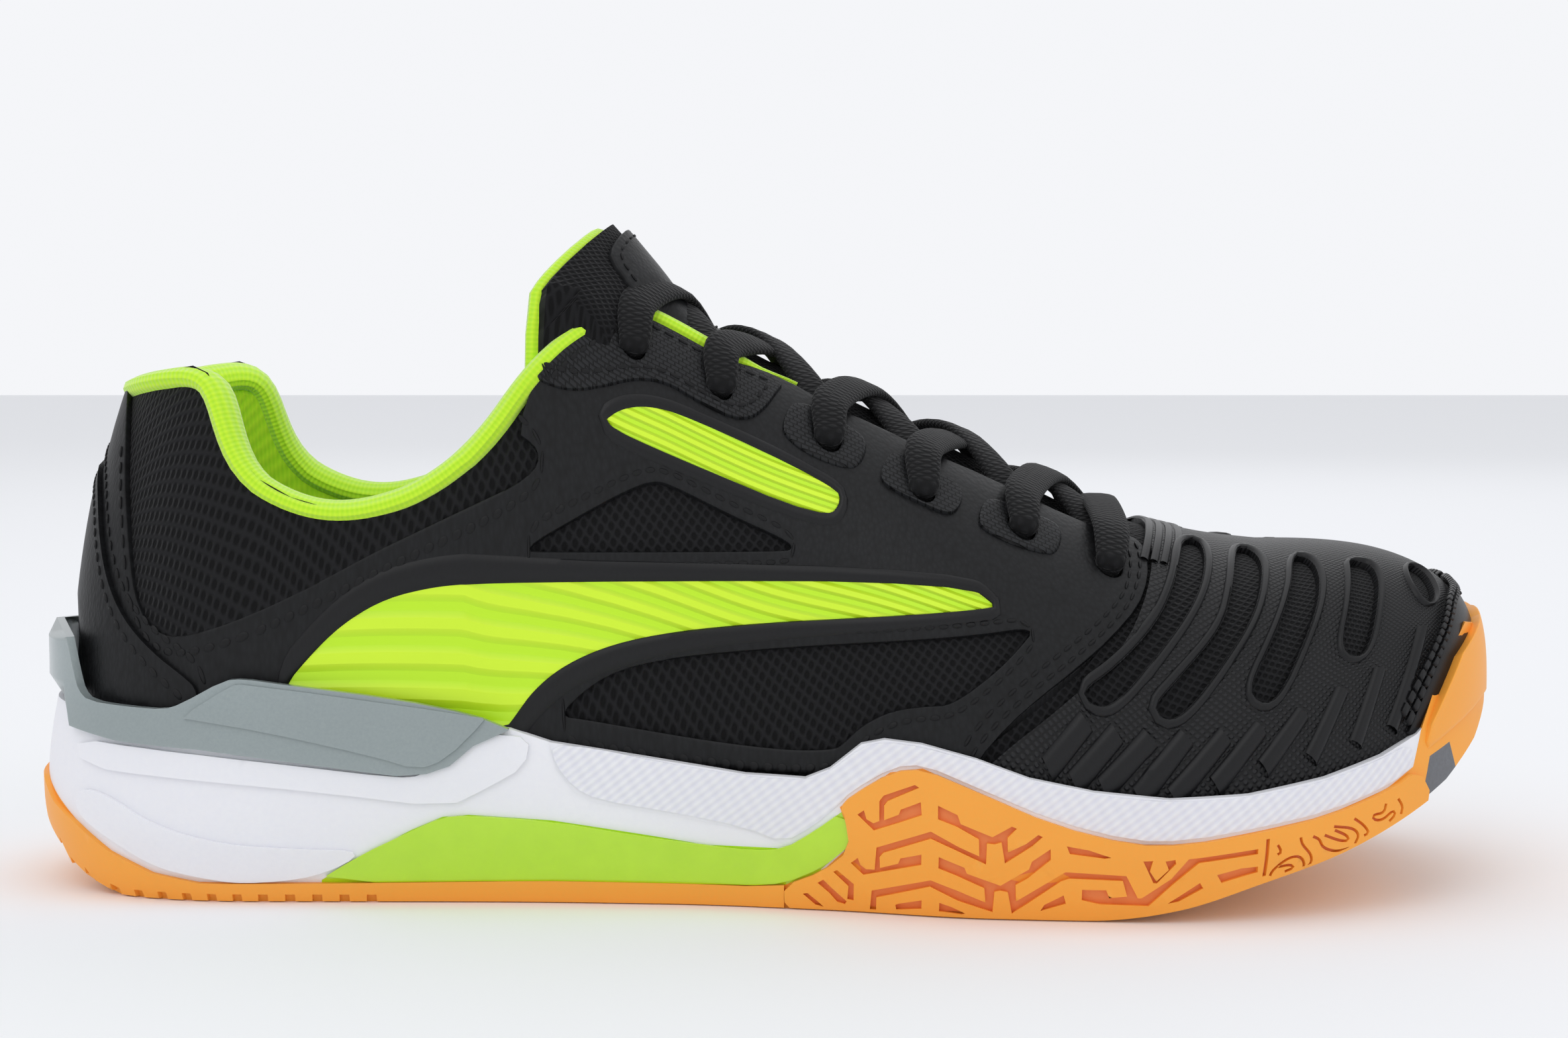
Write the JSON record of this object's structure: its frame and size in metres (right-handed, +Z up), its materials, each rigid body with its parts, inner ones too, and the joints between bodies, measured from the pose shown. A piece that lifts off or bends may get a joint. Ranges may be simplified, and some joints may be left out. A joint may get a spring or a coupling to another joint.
{
  "type": "court shoe",
  "caption": "Low-cut right court shoe with mesh and leather upper, slotted toe film, gum outsole wrapped up the outer side, heel cage, shank and flat lace.",
  "frame": {"origin": "middle of the shoe's box, on the floor plane under the sole", "axes": "+X from heel to toe, +Y to the inner (medial) side, +Z up"},
  "size_m": [0.2942, 0.1068, 0.1319],
  "materials": {
    "aglet": "clear over black",
    "board": "fibre board",
    "cage_silver": "pearly, slightly clear",
    "counter": "moulded sheet",
    "foam_front": "hatched foam skin",
    "foam_inner": "open cell foam",
    "foam_white": "fine moulded foam skin",
    "grey_rubber": "matte",
    "gum_rubber": "satin moulded gum",
    "lace_black": "flat woven tube",
    "leather_black": "fine embossed grain",
    "lining_black": "flat knit",
    "lining_neon": "brushed knit",
    "mesh_black": "open warp knit",
    "patch_black": "woven relief",
    "ribbed_neon": "ribbed moulded film",
    "shank_lime": "glossy, clear tinted",
    "sock": "brushed knit over foam",
    "toe_film": "moulded film with fine relief"
  },
  "bodies": {
    "root": {"collar_foam": "foam_inner", "collar_lining": "lining_neon", "heel_cage": "cage_silver", "heel_counter": "counter", "heel_foam": "foam_inner", "heel_inlay": "grey_rubber", "heel_strip": "leather_black", "inner_aglet": "aglet", "inner_belt_panel": "ribbed_neon", "inner_eyestay_patch": "patch_black", "inner_lace_bar": "ribbed_neon", "inner_overlay": "leather_black", "inner_quarter_mesh": "mesh_black", "lace": "lace_black", "midsole_front": "foam_front", "midsole_rear": "foam_white", "outer_aglet": "aglet", "outer_belt_panel": "ribbed_neon", "outer_eyestay_patch": "patch_black", "outer_lace_bar": "ribbed_neon", "outer_overlay": "leather_black", "outer_quarter_mesh": "mesh_black", "outsole": "gum_rubber", "shank": "shank_lime", "sockliner": "sock", "strobel_board": "board", "toe_guard": "toe_film", "toe_inlay": "grey_rubber", "toe_overlay": "toe_film", "toe_puff": "counter", "tongue_foam": "foam_inner", "tongue_lining": "lining_neon", "tongue_mesh": "mesh_black", "tongue_patch": "leather_black", "vamp_lining": "lining_black", "vamp_mesh": "mesh_black"}
  },
  "joints": []
}
